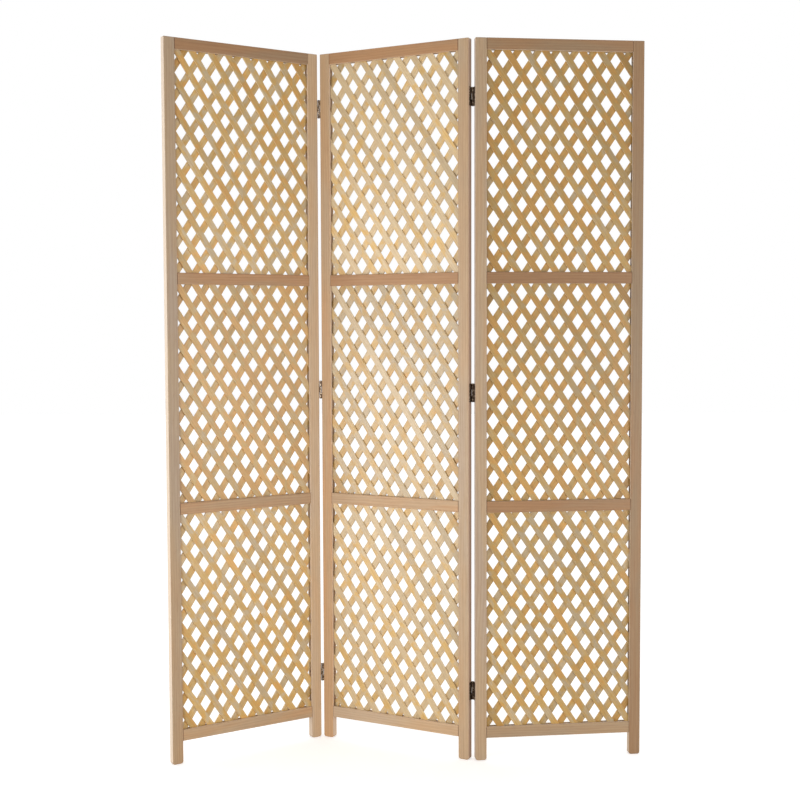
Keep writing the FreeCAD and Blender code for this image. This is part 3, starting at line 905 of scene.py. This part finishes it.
def make_screws(joint, leaf):
    """The six screws of one side of a joint, as one piece."""
    name, wood_side, plate_side = hinge_sides[(joint, leaf)]
    node = f"{joint}_hinge_{leaf}_screws"
    matrix = leaf_frame(joint, panels[name], wood_side, plate_side)
    lay_down = Matrix.Rotation(math.radians(-90), 4, "Y")
    group = bmesh.new()
    for level in hinge_levels:
        low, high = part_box(f"{joint}_{level}_hinge_pin")
        middle = (low.z + high.z) / 2
        for side in (-1, 1):
            screw = new_screw()
            place = Vector((pin_to_wood - leaf_thickness - head_proud, screw_row,
                            middle + side * (leaf_half - screw_inset)))
            bmesh.ops.transform(screw, matrix=Matrix.Translation(place) @ lay_down, verts=screw.verts)
            pour(screw, group)
    finish_piece(f"{node}.steel", group, matrix, fastener_metal, f"{name}_panel", node)


for joint, leaf in hinge_sides:
    make_screws(joint, leaf)
    for level in hinge_levels:
        make_leaf(joint, level, leaf)
for joint in pins:
    for level in hinge_levels:
        make_pin(joint, level)
print(len(hinge_sides) * len(hinge_levels), "leaves on", len(pins) * len(hinge_levels), "pins")

# %% [markdown]
# The screen stands in a white studio. The floor and the world are white where the camera
# looks at them, and a plain soft level where they light the wood, a little more from behind,
# where a white wall would be. The floor still takes the shadow of the feet.

# %% Floor and world
floor_half = 12
floor_grey = 0.86
floor_glow = 0.45
world_front = 0.33
world_back = 1.0
# The world gets brighter between these two headings. Minus one is the front, one the back.
world_rise = (-0.9, 0.6)

floor_mesh = bpy.data.meshes.new("floor")
bm = bmesh.new()
bmesh.ops.create_grid(bm, x_segments=1, y_segments=1, size=floor_half)
bm.to_mesh(floor_mesh)
bm.free()
floor = bpy.data.objects.new("floor", floor_mesh)
bpy.context.scene.collection.objects.link(floor)

floor_paint = bpy.data.materials.new("floor_paint")
floor_paint.use_nodes = True
tree = floor_paint.node_tree
shader = tree.nodes["Principled BSDF"]
shader.inputs["Base Color"].default_value = (floor_grey, floor_grey, floor_grey, 1)
shader.inputs["Roughness"].default_value = 0.9
shader.inputs["Specular IOR Level"].default_value = 0.0
shader.inputs["Emission Color"].default_value = (1, 1, 1, 1)
seen = add(tree, "LightPath").outputs["Is Camera Ray"]
tree.links.new(calculate(tree, "MULTIPLY", seen, floor_glow), shader.inputs["Emission Strength"])
floor_mesh.materials.append(floor_paint)

world = bpy.data.worlds.new("studio")
world.use_nodes = True
tree = world.node_tree
background = tree.nodes["Background"]
background.inputs["Color"].default_value = (1, 1, 1, 1)
rays = add(tree, "LightPath").outputs
direct = calculate(tree, "MAXIMUM", rays["Is Camera Ray"], rays["Is Glossy Ray"])
direct = calculate(tree, "MAXIMUM", direct, rays["Is Transmission Ray"])
way = add(tree, "TexCoord").outputs["Generated"]
heading = add(tree, "SeparateXYZ", None, {0: way}).outputs[1]
soft = spread(tree, heading, *world_rise, world_front, world_back)
level = add(tree, "Mix", None, {0: direct, 2: soft, 3: 1.0}).outputs[0]
tree.links.new(level, background.inputs["Strength"])
bpy.context.scene.world = world

# %% [markdown]
# Two big soft lamps do the rest. The stronger one stands far to the left, so the middle
# panel, which is turned towards it, is the palest, and the outer edge of the left panel is
# almost white; painted light in the wood adds to both. The weaker one fills in from the right.

# %% Lamps
screen_middle = Vector((0, 0, 0.85))


def add_lamp(name, place, size, power):
    """A soft lamp that faces the middle of the screen. Sizes are in metres, power in watts."""
    data = bpy.data.lights.new(name, "AREA")
    data.shape = "RECTANGLE"
    data.size, data.size_y = size
    data.energy = power
    lamp = bpy.data.objects.new(name, data)
    bpy.context.scene.collection.objects.link(lamp)
    towards = (screen_middle - Vector(place)).to_track_quat("-Z", "Y")
    lamp.matrix_world = Matrix.Translation(place) @ towards.to_matrix().to_4x4()


add_lamp("left_lamp", place=(-2.8, -2.0, 0.65), size=(2.3, 1.25), power=64)
add_lamp("right_lamp", place=(2.6, -2.35, 0.65), size=(2.0, 1.25), power=47)

# %% [markdown]
# Last, the picture shows colours as they are written, with the Standard view.

# %% Finish
bpy.context.scene.view_settings.view_transform = "Standard"
